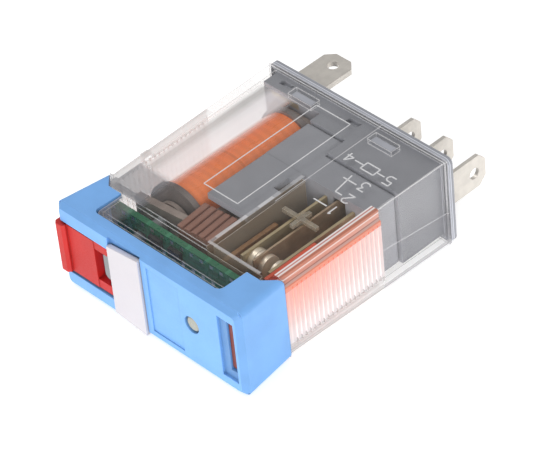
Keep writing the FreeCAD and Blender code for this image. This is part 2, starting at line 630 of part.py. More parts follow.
def label():
    """The white marking plate, a little wider at its right end."""
    corners = [("plate_left", "plate_low_left"), ("plate_right", "plate_low_right"),
               ("plate_right", "plate_high_right"), ("plate_left", "plate_high_left")]
    body = outline_body("label_plate", "XZ_Plane", corners, "plate_thick")
    body.setExpression("Placement.Base.y", bound("plate_thick / 2 - plate_front"))
    return body


label_plate = label()


# ---------------------------------------------------------------- status board and lamp

def lamp():
    dome = dress("Part::Fillet", "lamp_guide", rod(
        "lamp_rod", "y", *ahead("lamp_front", "board_front"), ("lamp_across", "lamp_high"),
        "lamp_radius"), "lamp_dome",
        lambda edge: edge.CenterOfMass.y < -size("lamp_front") + size("clearance"))
    collar = rod("lamp_collar", "y", *ahead("lamp_collar_end", "board_front"),
                 ("lamp_across", "lamp_high"), "lamp_collar_radius")
    return fuse("status_lamp", dome, collar)


def components():
    """Small surface-mounted resistors and a diode on the board's front."""
    chips = []
    for i, (across, high) in enumerate((("chip_first", "chip_row_high"),
                                        ("chip_first + chip_pitch", "chip_row_high"),
                                        ("chip_first + 2 * chip_pitch", "chip_row_low"),
                                        ("chip_first", "chip_row_low"))):
        chips.append(block(f"chip_{i}", (across, f"{across} + chip_length"),
                           ahead("board_front + chip_height", "board_front"),
                           (high, f"{high} + chip_width")))
    return group("board_components", *chips)


board_reach = ahead("board_front", "board_front - board_thick")
status_board = cut("status_board", block("board_blank", ("board_left", "board_right"),
                                         board_reach, centred("board_half_height")),
                   plunger_opening("board_plunger_hole", board_reach))
status_lamp = lamp()
board_components = components()


# ---------------------------------------------------------------- magnet

COIL_CENTRE = ("coil_across", "0")


def along_coil(name, front, rear, radius):
    return rod(name, "y", *ahead(front, rear), COIL_CENTRE, radius)


def bobbin():
    tube = along_coil("bobbin_tube", "coil_front", "coil_rear", "bobbin_tube_radius")
    rear = along_coil("bobbin_rear", "coil_rear + bobbin_flange", "coil_rear",
                      "bobbin_flange_radius")
    front = along_coil("bobbin_front", "coil_front", "coil_front - bobbin_flange",
                       "bobbin_flange_radius")
    bore = along_coil("bobbin_bore", "coil_front", "coil_rear", "bobbin_bore_radius")
    return cut("coil_bobbin", fuse("bobbin_blank", tube, rear, front), bore)


def sleeve(name, front, rear, inner, outer):
    return cut(name, along_coil(name + "_outside", front, rear, outer),
               along_coil(name + "_inside", front, rear, inner))


WOUND = ("coil_front - bobbin_flange", "coil_rear + bobbin_flange")
coil_bobbin = bobbin()
coil_winding = sleeve("coil_winding", *WOUND, "bobbin_tube_radius", "winding_radius")
coil_tape = sleeve("coil_tape", *WOUND, "winding_radius", "winding_radius + tape_thick")
shading_ring = sleeve("shading_ring", "yoke_front", "yoke_front - shading_depth",
                      "shading_inner", "shading_outer")
core = cut("core",
           fuse("core_blank",
                along_coil("core_rod", "yoke_front", "yoke_rear", "core_radius"),
                along_coil("core_pole", "yoke_front", "yoke_front - pole_thick", "pole_radius")),
           shading_ring)


def magnet_yoke():
    high = centred("yoke_half_high")
    back = block("yoke_back", ("yoke_left", "yoke_right"),
                 ahead("yoke_rear + yoke_thick", "yoke_rear"), high)
    leg = block("yoke_leg", ("yoke_right - yoke_thick", "yoke_right"),
                ahead("yoke_front", "yoke_rear"), high)
    hole = along_coil("yoke_hole", "yoke_rear + yoke_thick", "yoke_rear", "core_radius")
    return cut("yoke", fuse("yoke_bend", back, leg), hole)


yoke = magnet_yoke()

# The armature and its actuator are drawn closed on the pole, then swung open to rest.
ARMATURE_HINGE = FreeCAD.Vector(size("armature_pivot_across"), -size("yoke_front"), 0)
SWUNG_OPEN = FreeCAD.Placement(
    FreeCAD.Vector(), FreeCAD.Rotation(FreeCAD.Vector(0, 0, 1), size("armature_open_angle")),
    ARMATURE_HINGE)
FLAP_REAR = "yoke_front + armature_gap"
FLAP_FRONT = "yoke_front + armature_gap + armature_thick"


def armature_flap():
    span = ("armature_arm_low", "armature_arm_high")
    flap = block("armature_flap", ("armature_left", "armature_right"),
                 ahead(FLAP_FRONT, FLAP_REAR), centred("armature_half_high"))
    heel = block("armature_heel", ("armature_right", "armature_arm_right"),
                 ahead(FLAP_FRONT, FLAP_REAR), span)
    arm = block("armature_arm", ("armature_arm_left", "armature_arm_right"),
                ahead(FLAP_FRONT, "armature_arm_rear"), span)
    whole = fuse("armature", flap, heel, arm)
    whole.Placement = SWUNG_OPEN
    return whole


def moulded_actuator():
    across = ("actuator_left", "actuator_right")
    front = block("actuator_face", across, ahead("actuator_front", FLAP_FRONT),
                  ("actuator_low", "actuator_high"))
    roof = block("actuator_roof", across, ahead("actuator_front", "actuator_rear"),
                 ("actuator_roof_low", "actuator_high"))
    count = int((size("actuator_right") - size("actuator_left"))
                / size("actuator_groove_pitch"))
    grooves = [block(f"actuator_groove_{i}",
                     (f"actuator_left + {i} * actuator_groove_pitch - actuator_groove",
                      f"actuator_left + {i} * actuator_groove_pitch"),
                     ahead("actuator_front", "actuator_rear"),
                     ("actuator_high - actuator_groove", "actuator_high"))
               for i in range(1, count + 1)]
    whole = cut("armature_actuator", fuse("actuator_blank", front, roof), *grooves)
    whole.Placement = SWUNG_OPEN
    return whole


armature = armature_flap()
armature_actuator = moulded_actuator()
leaf_height = ("leaf_low", "leaf_high")
armature_spring = fuse(
    "armature_spring",
    block("leaf_leg", ("yoke_right", "yoke_right + leaf_thick"), ahead("leaf_front", "leaf_rear"),
          leaf_height),
    block("leaf_hook", ("leaf_reach", "yoke_right + leaf_thick"),
          ahead("leaf_front", "leaf_front - leaf_thick"), leaf_height))
coil_leads = group("coil_leads", *[
    rod(f"coil_lead_{i}", "y", *ahead("coil_rear", "coil_side_depth"),
        ("lead_across", high), "lead_radius")
    for i, high in enumerate(("lead_high", "-lead_high"))])


# ---------------------------------------------------------------- card, flag and carrier

def card():
    along = ahead("card_front", "card_rear")
    bar = block("card_bar", ("card_left", f"{SPRING_LEFT} - card_spring_gap"), along,
                ("card_low", "card_high"))
    riser = block("card_riser", ("nc_arm_left", f"{SPRING_LEFT} - card_spring_gap"), along,
                  ("runner_low", "card_high"))
    runner = block("card_runner", ("nc_arm_left", "runner_right"), along,
                   ("runner_low", "runner_high"))
    peg = rod("card_peg", "z", "runner_high", "peg_high", ("peg_across", "-peg_ahead"),
              "peg_radius")
    post = block("card_post", ("card_post_left", f"{SPRING_LEFT} - card_spring_gap"), along,
                 ("card_high", "cross_high"))
    high = ("cross_low", "cross_high")
    across = block("cross_across_bar", ("cross_left", "cross_right"),
                   ahead("cross_ahead + cross_bar / 2", "cross_ahead - cross_bar / 2"), high)
    lengthwise = block("cross_long_bar", ("cross_across - cross_bar / 2",
                                          "cross_across + cross_bar / 2"),
                       ahead("cross_front", "cross_rear"), high)
    return fuse("push_card", bar, riser, runner, peg, post, across, lengthwise)


def cam_slot():
    """The slanted slot that turns the card's short push into the flag's longer stroke."""
    high = ("flag_low - clearance", "flag_low + flag_foot_thick + clearance")
    radius = "peg_radius + peg_slot_gap"
    start = ("peg_across", "-peg_ahead")
    end = ("peg_across + card_travel", "-peg_ahead - flag_travel")
    middle = doc.addObject("Part::Box", "cam_slot_middle")
    middle.setExpression("Length", bound("sqrt(card_travel ^ 2 + flag_travel ^ 2)"))
    middle.setExpression("Width", bound(f"2 * ({radius})"))
    middle.setExpression("Height", bound("flag_foot_thick + 2 * clearance"))
    lean = math.degrees(math.atan2(-size("flag_travel"), size("card_travel")))
    half = size("peg_radius") + size("peg_slot_gap")
    turn = FreeCAD.Rotation(FreeCAD.Vector(0, 0, 1), lean)
    place = FreeCAD.Vector(size("peg_across"), -size("peg_ahead"),
                           size("flag_low") - size("clearance"))
    middle.Placement = FreeCAD.Placement(place + turn.multVec(FreeCAD.Vector(0, -half, 0)), turn)
    return fuse("cam_slot", middle, rod("cam_slot_start", "z", *high, start, radius),
                rod("cam_slot_end", "z", *high, end, radius))


def flag():
    plate = ("flag_left", "flag_left + flag_thick")
    face = block("flag_sheet", plate, ahead("flag_neck_start", "flag_tail_start"),
                 ("flag_low", "flag_high"))
    tail = block("flag_tail", plate, ahead("flag_tail_start", "flag_rear"),
                 ("flag_low", "flag_tail_high"))
    neck = block("flag_neck", plate, ahead("flag_jog_front", "flag_neck_start"),
                 ("flag_low", "flag_neck_high"))
    tip_right = "flag_slot_right - flag_tip_gap"
    high = ("flag_tip_low", "flag_neck_high")
    jog = block("flag_jog", ("flag_left", tip_right),
                ahead("flag_jog_front", "flag_jog_front - flag_jog_thick"), high)
    tip = block("flag_tip", ("flag_slot_left + flag_tip_gap", tip_right),
                ahead("flag_tip_front", "flag_jog_front - flag_jog_thick"), high)
    foot = block("flag_foot", ("flag_foot_left", "flag_left"),
                 ahead("flag_foot_front", "flag_foot_rear"),
                 ("flag_low", "flag_low + flag_foot_thick"))
    return cut("indicator_flag", fuse("flag_blank", face, tail, neck, jog, tip, foot), cam_slot())


def carrier():
    across = ("carrier_left", "carrier_right")
    floor = block("carrier_floor", across, ahead("carrier_front", "carrier_rear"),
                  ("carrier_low", "carrier_high"))
    rib = block("carrier_rib", across,
                ahead("carrier_front", "carrier_front - carrier_rib_thick"),
                ("carrier_low", "carrier_rib_high"))
    side = block("carrier_side", ("carrier_left", "carrier_left + carrier_rib_thick"),
                 ahead("carrier_front", "carrier_side_rear"), ("carrier_low", "carrier_side_high"))
    return fuse("contact_carrier", floor, rib, side)


push_card = card()
indicator_flag = flag()
contact_carrier = carrier()


# ---------------------------------------------------------------- check and write

PARTS = [base_frame, clear_cover, front_cap, label_plate, lock_lever, lever_pin, test_plunger,
         status_board, status_lamp, board_components, coil_bobbin, coil_winding, coil_tape,
         core, shading_ring, yoke, armature, armature_actuator, armature_spring, coil_leads,
         push_card, moving_spring, moving_contact, nc_contact, no_contact, terminal_1,
         terminal_2, terminal_3, terminal_4, terminal_5, indicator_flag, contact_carrier]

doc.recompute()
failed = [thing.Name for thing in doc.Objects if {"Invalid", "Error"} & set(thing.State)]
if failed:
    raise RuntimeError("not computed: " + ", ".join(failed))

terminal_2.Label = "terminal_2"
os.makedirs("parts", exist_ok=True)
for part in PARTS:
    if part.Shape.isNull() or not part.Shape.isValid():
        raise RuntimeError("bad shape: " + part.Label)
for part in PARTS:
    part.Shape.exportStep(f"parts/{part.Label}.step")
print(len(PARTS), "parts written")
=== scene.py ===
import json
import math

import bmesh
import bpy
from mathutils import Euler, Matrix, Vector


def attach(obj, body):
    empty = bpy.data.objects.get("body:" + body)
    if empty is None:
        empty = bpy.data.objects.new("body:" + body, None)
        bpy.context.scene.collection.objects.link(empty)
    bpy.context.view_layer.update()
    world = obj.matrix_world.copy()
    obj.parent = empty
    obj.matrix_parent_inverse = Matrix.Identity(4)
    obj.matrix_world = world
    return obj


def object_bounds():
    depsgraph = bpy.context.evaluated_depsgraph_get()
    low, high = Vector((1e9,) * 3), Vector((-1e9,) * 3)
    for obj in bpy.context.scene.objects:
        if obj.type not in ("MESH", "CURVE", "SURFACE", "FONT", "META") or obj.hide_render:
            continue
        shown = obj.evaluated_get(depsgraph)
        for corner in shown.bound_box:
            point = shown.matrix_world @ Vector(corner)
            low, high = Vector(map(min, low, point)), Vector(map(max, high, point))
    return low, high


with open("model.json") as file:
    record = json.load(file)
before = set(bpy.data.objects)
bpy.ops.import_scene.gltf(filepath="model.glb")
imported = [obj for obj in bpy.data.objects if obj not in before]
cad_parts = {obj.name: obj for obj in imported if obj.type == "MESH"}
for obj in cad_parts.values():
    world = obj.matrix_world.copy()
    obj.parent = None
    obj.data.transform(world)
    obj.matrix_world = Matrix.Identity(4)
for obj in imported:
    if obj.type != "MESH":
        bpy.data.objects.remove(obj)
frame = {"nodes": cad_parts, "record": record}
cad_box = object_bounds()
nodes = frame["nodes"]
MM = 0.001

# Places are in millimetres: x runs across, y is 0 on the rear face of the flange and falls
# towards the front, and z is 0 halfway between the two large faces.
FLANGE_FRONT = -0.8
COVER_FRONT = -28.15
COVER_TOP_REAR, COVER_TOP_FRONT = 6.35, 6.07
PARTITION_LEFT, PARTITION_RIGHT = 3.2, 12.0
PARTITION_REAR, PARTITION_FRONT = -13.6, -29.3


# ---------------------------------------------------------------- node tree shorthand

NOISE_SPREAD = (0.3, 0.7)           # most of a noise texture's values lie between these
SHARP_TURN, FLAT_TURN = 0.76, 0.995  # how well a rounded normal agrees with the flat one
CORNER_REACH, OPEN_SKY = 0.8, 0.9   # reach of a corner's shade, and the value clear of it


class Nodes:
    """A short way to build a material: adds nodes, sets inputs and links sockets."""

    def __init__(self, name):
        self.material = bpy.data.materials.new(name)
        self.material.use_nodes = True
        self.tree = self.material.node_tree
        self.tree.nodes.clear()
        self.output = self.add("ShaderNodeOutputMaterial")
        self.geometry = self.add("ShaderNodeNewGeometry")
        coords = self.add("ShaderNodeTexCoord")
        self.mm = self.vector("SCALE", coords.outputs["Object"], Scale=1 / MM)
        place = self.add("ShaderNodeSeparateXYZ", Vector=self.mm)
        self.x, self.y, self.z = place.outputs
        facing = self.add("ShaderNodeSeparateXYZ", Vector=self.geometry.outputs["True Normal"])
        self.facing_x, self.facing_y, self.facing_z = facing.outputs

    def add(self, kind, settings=None, **values):
        node = self.tree.nodes.new(kind)
        for key, value in (settings or {}).items():
            setattr(node, key, value)
        for key, value in values.items():
            self.put(node.inputs[key.replace("_", " ")], value)
        return node

    def put(self, socket, value):
        if isinstance(value, bpy.types.NodeSocket):
            self.tree.links.new(value, socket)
        elif socket.type == "RGBA" and len(value) == 3:
            socket.default_value = (*value, 1.0)
        else:
            socket.default_value = value

    def math(self, operation, *values, clamp=False):
        node = self.add("ShaderNodeMath", {"operation": operation, "use_clamp": clamp})
        for socket, value in zip(node.inputs, values):
            self.put(socket, value)
        return node.outputs[0]

    def vector(self, operation, *values, **named):
        node = self.add("ShaderNodeVectorMath", {"operation": operation}, **named)
        for socket, value in zip(node.inputs, values):
            self.put(socket, value)
        return node.outputs["Value" if operation == "DOT_PRODUCT" else "Vector"]

    def chain(self, operation, values):
        result = values[0]
        for value in values[1:]:
            result = self.math(operation, result, value)
        return result

    def times(self, *values):
        return self.chain("MULTIPLY", values)

    def most(self, *values):
        return self.chain("MAXIMUM", values)

    def size(self, value):
        return self.math("ABSOLUTE", value)

    def rest(self, mask):
        """What a mask leaves over."""
        return self.math("SUBTRACT", 1.0, mask, clamp=True)

    def ramp(self, value, start, end, low=0.0, high=1.0):
        """Low below start, high above end, and smooth between them."""
        node = self.add("ShaderNodeMapRange", {"interpolation_type": "SMOOTHSTEP"}, Value=value)
        for name, amount in (("From Min", start), ("From Max", end),
                             ("To Min", low), ("To Max", high)):
            self.put(node.inputs[name], amount)
        return node.outputs[0]

    def between(self, mask, low, high):
        """Low where a mask is zero and high where it is one."""
        return self.ramp(mask, 0.0, 1.0, low, high)

    def band(self, value, low, high, soft):
        """One between two bounds and zero outside them."""
        inside = self.ramp(value, low - soft, low + soft)
        outside = self.ramp(value, high - soft, high + soft, 1.0, 0.0)
        return self.times(inside, outside)

    def stripes(self, place, start, pitch, width):
        """Narrow lines across one axis: one on a line, zero between lines."""
        steps = self.math("DIVIDE", self.math("SUBTRACT", place, start), pitch)
        return self.math("LESS_THAN", self.math("FRACT", steps), width / pitch)

    def noise(self, scale, detail=3.0, stretch=(1, 1, 1)):
        stretched = self.vector("MULTIPLY", self.mm, stretch)
        return self.add("ShaderNodeTexNoise", Vector=stretched, Scale=scale,
                        Detail=detail).outputs[0]

    def uneven(self, scale, low, high):
        """A value that drifts between low and high over the surface."""
        return self.ramp(self.noise(scale), *NOISE_SPREAD, low, high)

    def mix(self, factor, first, second):
        node = self.add("ShaderNodeMix", {"data_type": "RGBA"})
        colours = [socket for socket in node.inputs if socket.type == "RGBA"]
        for socket, value in zip((node.inputs[0], *colours), (factor, first, second)):
            self.put(socket, value)
        return next(socket for socket in node.outputs if socket.type == "RGBA")

    def tone(self, colour, value):
        return self.add("ShaderNodeHueSaturation", Color=colour, Value=value).outputs[0]

    def colour_bands(self, place, stops):
        """A row of soft colour bands, given as (place, colour) stops."""
        node = self.add("ShaderNodeValToRGB", Fac=place)
        elements = node.color_ramp.elements
        while len(elements) < len(stops):
            elements.new(0.5)
        for element, (position, colour) in zip(elements, stops):
            element.position = position
            element.color = (*colour, 1.0)
        return node.outputs[0]

    def rounded(self, radius_mm):
        """Normals that turn smoothly over each edge, as a moulded edge does."""
        return self.add("ShaderNodeBevel", {"samples": 4}, Radius=radius_mm * MM).outputs[0]

    def edge(self, radius_mm):
        """One on an edge, falling to zero a radius away from it."""
        turn = self.vector("DOT_PRODUCT", self.rounded(radius_mm),
                           self.geometry.outputs["Normal"])
        return self.ramp(turn, SHARP_TURN, FLAT_TURN, 1.0, 0.0)

    def painted_crevice_shade(self, depth):
        """Painted shade: darker in corners and slots, where light doesn't reach."""
        shade = self.add("ShaderNodeAmbientOcclusion", {"samples": 4},
                         Distance=CORNER_REACH * MM)
        return self.ramp(shade.outputs["AO"], 0.0, OPEN_SKY, 1.0 - depth, 1.0)

    def bump(self, height, strength, relief_mm, normal=None):
        node = self.add("ShaderNodeBump", Height=height, Strength=strength,
                        Distance=relief_mm * MM)
        if normal:
            self.put(node.inputs["Normal"], normal)
        return node.outputs[0]

    def blend(self, factor, first, second):
        node = self.add("ShaderNodeMixShader")
        for socket, value in zip(node.inputs, (factor, first, second)):
            self.put(socket, value)
        return node.outputs[0]

    def principled(self, **values):
        return self.add("ShaderNodeBsdfPrincipled", **values)

    def see_through(self, colour):
        return self.add("ShaderNodeBsdfTransparent", Color=colour).outputs[0]

    def finish(self, surface):
        self.put(self.output.inputs["Surface"], surface)
        return self.material


# ---------------------------------------------------------------- opaque materials

POLISH_REACH = 1.6                  # an edge is polished over this many times its radius
# the lighter edge tone is a painted highlight; the smoother edge is real polish
EDGE_HIGHLIGHT_LIGHTER, WORN_SMOOTHER = 1.10, 0.12
METALLIC_OUTSIDE, METALLIC_INSIDE = 0.72, 0.5
# inside the cover, metal is painted darker and duller, as shade
OUTSIDE_Y, INSIDE_Y = -2.0, -4.0    # metal changes its look between these


def moulded(name, colour, roughness, relief=0.012, tone=0.05, edge=0.12, corners=0.35,
            shading=None):
    """Injection-moulded plastic: spark-eroded grain, tone drift, rounded and polished edges with a
    painted highlight, painted shade in corners.
    """
    n = Nodes(name)
    grain = n.noise(scale=6.0, detail=5)
    drift = n.uneven(scale=0.22, low=1 - tone, high=1 + tone)
    worn_edge_highlight = n.edge(edge * POLISH_REACH)
    # edges painted lighter as a highlight; corners sets the depth of the painted corner shade
    value = n.times(drift, n.painted_crevice_shade(corners), n.between(worn_edge_highlight, 1.0, EDGE_HIGHLIGHT_LIGHTER))
    # shading adds the painted light and shade of a single piece
    if shading:
        value = n.times(value, shading(n))
    grainy = n.ramp(grain, *NOISE_SPREAD, roughness - 0.06, roughness + 0.08)
    surface = n.principled(Base_Color=n.tone(colour, value),
                           Roughness=n.math("SUBTRACT", grainy, n.times(worn_edge_highlight, WORN_SMOOTHER)),
                           Normal=n.bump(grain, strength=0.35, relief_mm=relief,
                                         normal=n.rounded(edge)))
    return n.finish(surface.outputs[0])


def metal(name, colour, roughness, brush=(1, 0.06, 1), tarnish=0.12, inside=None):
    """Rolled or stamped metal: brush marks along one axis, uneven tarnish, painted darker and
    duller inside the cover as shade, painted shade in corners.
    """
    n = Nodes(name)
    marks = n.noise(scale=9.0, detail=5, stretch=brush)
    patches = n.uneven(scale=0.7, low=1 - tarnish, high=1 + tarnish)
    base = n.mix(n.ramp(n.y, OUTSIDE_Y, INSIDE_Y), colour, inside or colour)
    # painted shade in corners
    surface = n.principled(Base_Color=n.tone(base, n.times(patches, n.painted_crevice_shade(depth=0.3))),
                           Metallic=n.ramp(n.y, OUTSIDE_Y, INSIDE_Y, METALLIC_OUTSIDE,
                                           METALLIC_INSIDE),
                           Roughness=n.ramp(marks, 0.25, 0.75, roughness - 0.08,
                                            roughness + 0.12),
                           Normal=n.bump(marks, strength=0.25, relief_mm=0.008,
                                         normal=n.rounded(0.06)))
    return n.finish(surface.outputs[0])


# the gap tone is painted shade between the turns
WIRE_PITCH, WIRE_GAP_SHADE = 0.32, (0.16, 0.05, 0.02)
RING_PITCH, RING_WANDER, RING_COLOUR = 1.3, 4.0, (0.55, 0.15, 0.06)
SEAM_FRONT, SEAM_REAR = -15.4, -15.0


def wound_wire(name, colour):
    """Enamelled copper wire: one turn every pitch, with painted shade between the turns."""
    n = Nodes(name)
    turns = n.math("SINE", n.math("MULTIPLY", n.y, math.tau / WIRE_PITCH))
    shade = n.mix(n.ramp(turns, -1, 1), WIRE_GAP_SHADE, colour)
    surface = n.principled(Base_Color=shade, Metallic=0.7, Roughness=0.35,
                           Normal=n.bump(turns, strength=0.6, relief_mm=0.06))
    return n.finish(surface.outputs[0])


def wrapped_tape(name, colour):
    """Polyester tape over the winding: the layers beneath show as soft rings."""
    n = Nodes(name)
    wander = n.math("MULTIPLY", n.noise(scale=0.5), RING_WANDER)
    steps = n.math("MULTIPLY", n.y, math.tau / RING_PITCH)
    rings = n.math("SINE", n.math("ADD", steps, wander))
    creases = n.noise(scale=0.9, detail=4, stretch=(1, 0.3, 1))
    seam = n.band(n.y, SEAM_FRONT, SEAM_REAR, 0.05)
    shade = n.mix(n.ramp(rings, -1, 1, 0.0, 0.22), colour, RING_COLOUR)
    surface = n.principled(Base_Color=n.tone(shade, n.between(seam, 1.0, 0.8)),
                           Roughness=n.ramp(creases, *NOISE_SPREAD, 0.22, 0.38),
                           Normal=n.bump(creases, strength=0.25, relief_mm=0.12),
                           Coat_Weight=0.4)
    return n.finish(surface.outputs[0])


MASK_GREEN, TRACK_GREEN, TINNED = (0.018, 0.15, 0.070), (0.035, 0.23, 0.115), (0.62, 0.62, 0.58)


def solder_mask(name):
    """Green board: copper tracks stand up a little under the mask, with tinned pads."""
    n = Nodes(name)
    lengthwise = n.stripes(n.z, start=0.0, pitch=1.25, width=0.45)
    crosswise = n.stripes(n.x, start=0.6, pitch=3.4, width=0.5)
    track = n.most(lengthwise, crosswise)
    pad = n.times(n.stripes(n.x, start=1.4, pitch=1.7, width=0.55),
                  n.stripes(n.z, start=1.2, pitch=2.5, width=0.5))
    green = n.mix(track, MASK_GREEN, TRACK_GREEN)
    surface = n.principled(Base_Color=n.mix(pad, green, TINNED), Metallic=pad,
                           Roughness=n.uneven(scale=2.0, low=0.25, high=0.4),
                           Normal=n.bump(track, strength=0.3, relief_mm=0.04))
    return n.finish(surface.outputs[0])


def frosted_lamp(name):
    """The lamp's light guide: unlit frosted plastic with a polished dome."""
    n = Nodes(name)
    frosted, rim = (0.36, 0.36, 0.28), (0.2, 0.22, 0.2)
    surface = n.principled(Base_Color=n.mix(n.edge(0.2), frosted, rim),
                           Roughness=n.uneven(scale=3.0, low=0.12, high=0.3),
                           Coat_Weight=0.6)
    return n.finish(surface.outputs[0])


# ---------------------------------------------------------------- painted light and shade of single pieces

def painted_flange_light(n):
    """Painted light: the flange's rear half is painted a little darker as shade, behind a fine
    painted highlight on its parting line and edges, and it is painted lighter towards its bottom
    edge.
    """
    flange = n.ramp(n.y, FLANGE_FRONT - 0.15, FLANGE_FRONT)
    parting_line_highlight = n.band(n.y, -0.48, -0.38, 0.03)
    # polished: a painted highlight on the flange's edges and parting line
    polished = n.between(n.times(flange, n.most(n.edge(0.2), parting_line_highlight)), 1.0, 1.9)
    # painted shade on the rear half, and painted light towards the bottom
    rear_half_shade = n.ramp(n.y, -0.45, -0.4, 1.0, 0.78)
    lighter_low = n.ramp(n.z, 0.5, -5.0, 1.0, 1.13)
    return n.times(rear_half_shade, polished, lighter_low)


def painted_flag_shadow(n):
    """The flag's tip sits in its slot's shadow, painted on as a darker tone."""
    return n.ramp(n.y, -34.0, -35.2, 1.0, 0.28)


def painted_cap_shade(n):
    """Painted shade: the sloped border round the cap's front and the flag's recess are painted
    deeper in tone.
    """
    forward = n.math("MULTIPLY", n.facing_y, -1.0)
    # painted shade on the border and in the flag's recess
    border = n.band(forward, 0.35, 0.92, 0.03)
    recess = n.times(n.ramp(n.y, -36.2, -36.1), n.ramp(n.x, 12.0, 12.1), n.ramp(forward, 0.9, 0.98))
    return n.times(n.between(border, 1.0, 0.80), n.between(recess, 1.0, 0.66))


# ---------------------------------------------------------------- clear cover

OUTER_FACE = 5.9                    # between the inner and outer skin of the large faces
RIB_START, RIB_PITCH, RIB_GROOVE = 12.8, 0.74, 0.28
GRIP_REAR, GRIP_FRONT = -12.25, -28.2
GRIP_SIDE = 14.5
# the glow tone is painted light from the orange flag inside
GRIP_GREY, GRIP_PINK, GRIP_PAINTED_GLOW = (0.66, 0.62, 0.64), (0.82, 0.75, 0.75), (0.93, 0.43, 0.36)
BAND_OUTER, BAND_WIDTH, BAND_LEAN = 11.64, 3.36, 0.85
# painted refraction lines, light and dark, orange where the flag's light shines through
# Stripes across the sloped strip, from the ribs (0) to the top face (1), as judged.
PAINTED_WARM_BANDS = [(0.0, (0.86, 0.30, 0.20)), (0.20, (0.80, 0.27, 0.17)), (0.25, (0.64, 0.42, 0.37)),
              (0.33, (0.60, 0.38, 0.33)), (0.355, (0.30, 0.12, 0.10)), (0.39, (0.74, 0.36, 0.28)),
              (0.51, (0.72, 0.33, 0.25)), (0.55, (0.92, 0.78, 0.74)), (0.59, (0.56, 0.21, 0.13)),
              (0.78, (0.52, 0.17, 0.10)), (0.82, (0.95, 0.88, 0.86)), (0.86, (0.95, 0.86, 0.83)),
              (0.90, (0.50, 0.07, 0.03)), (0.95, (0.97, 0.90, 0.88)), (1.0, (0.97, 0.92, 0.91))]
PAINTED_COOL_BANDS = [(0.0, (0.72, 0.69, 0.69)), (0.3, (0.60, 0.58, 0.57)), (0.45, (0.86, 0.84, 0.84)),
              (0.6, (0.56, 0.54, 0.53)), (0.85, (0.92, 0.90, 0.90)), (1.0, (0.92, 0.91, 0.91))]
# The sheen runs across the cover from its left edge (0): how milky it is, and its tone.
SHEEN_LEFT, SHEEN_WIDTH = -15.0, 9.0
SHEEN_HAZE = [(0.0, (0.25,) * 3), (0.22, (0.25,) * 3), (0.29, (0.66,) * 3), (0.48, (0.70,) * 3),
              (0.74, (0.62,) * 3), (0.82, (0.26,) * 3), (0.90, (0.0,) * 3)]
SHEEN_TONES = [(0.0, (0.95, 0.91, 0.93)), (0.24, (0.92, 0.89, 0.90)), (0.31, (0.36, 0.34, 0.335)),
               (0.37, (0.36, 0.34, 0.335)), (0.48, (0.82, 0.77, 0.79)), (0.6, (0.94, 0.87, 0.89))]
# a painted dark patch on the top face, near its front left
DARK_PATCH_TONE, DARK_PATCH_HAZE = (0.25, 0.25, 0.27), 0.66
# haze tone of the cover: painted shade low down, painted light high up
LINE_SHADED, LINE_LIT = (0.52, 0.51, 0.53), (0.95, 0.94, 0.95)
# painted brown light on the partition's clear faces
PARTITION_PAINTED_BROWN, PARTITION_HAZE = (0.36, 0.30, 0.225), 0.52
GRIP_HAZE, GRIP_HAZE_RIGHT = 0.28, 0.86
BAND_HAZE, BAND_HAZE_WARM = 0.45, 0.92
EDGE_HIGHLIGHT_HAZE, LOW_LINE_HAZE, SIDE_HAZE = 0.9, 0.8, 0.045
LINE_FAINT, LINE_BRIGHT, LINE_END, MOULD_LINE = 0.26, 0.52, 0.42, 0.5
MIRROR, MIRROR_GLANCING = 0.012, 0.12
CLEAR_TINT = (0.982, 0.980, 0.976)
UNSHADED = 0.9                      # share of a shadow ray that the haze lets pass


class CoverNodes(Nodes):
    """The cover's node tree, with the masks that several of its functions share."""

    def __init__(self, name):
        super().__init__(name)
        self.side, self.height = self.size(self.x), self.size(self.z)
        self.right = self.ramp(self.x, 0.0, 1.0)
        self.upper_right = self.times(self.right, self.ramp(self.z, 0.0, 1.0))
        in_grip = self.band(self.y, GRIP_FRONT, GRIP_REAR, 0.03)
        narrow_side = self.ramp(self.side, 14.35, 14.45)
        shoulder = self.times(self.ramp(self.side, 13.3, 13.4),
                              self.ramp(self.height, OUTER_FACE, OUTER_FACE + 0.05))
        leaning = self.math("SUBTRACT", self.side, self.math("MULTIPLY", self.height, BAND_LEAN))
        self.band_place = self.math("DIVIDE", self.math("SUBTRACT", BAND_OUTER, leaning),
                                    BAND_WIDTH)
        self.on_band = self.times(in_grip, self.most(narrow_side, shoulder),
                                  self.band(self.band_place, 0.0, 1.0, 0.012))
        self.on_grip = self.times(in_grip, self.ramp(self.side, GRIP_SIDE, GRIP_SIDE + 0.1),
                                  self.rest(self.on_band))


def grip_tone(n):
    """The ribs: grey on the left, and on the right a painted orange glow for the flag's light from
    inside; the grooves and their walls are painted lighter.
    """
    towards_front = n.math("MULTIPLY", n.y, -1.0)
    groove = n.stripes(towards_front, RIB_START, RIB_PITCH, RIB_GROOVE)
    # painted light in the grooves and on their walls
    groove_painted_light = n.times(n.ramp(n.height, 4.25, 4.35, 1.0, 0.0), groove, 0.14)
    wall_light = n.ramp(n.size(n.facing_y), 0.4, 0.6, 1.0, 1.45)
    # painted glow of the orange flag's light, stronger to the front and top
    flag_glow = n.times(n.ramp(n.z, -4.5, 4.8), n.ramp(n.y, -8.0, -28.0, 0.30, 1.0), n.right)
    cool = n.mix(n.ramp(n.z, -4.6, -3.0), GRIP_GREY, GRIP_PINK)
    return n.tone(n.mix(flag_glow, cool, GRIP_PAINTED_GLOW), n.math("ADD", wall_light, groove_painted_light))


def painted_band_lines(n):
    """Painted light on the sloped strip along each grip: orange refraction lines on the upper
    right, where the flag's light shines through, and grey ones elsewhere.
    """
    return n.mix(n.upper_right, n.colour_bands(n.band_place, PAINTED_COOL_BANDS),
                 n.colour_bands(n.band_place, PAINTED_WARM_BANDS))


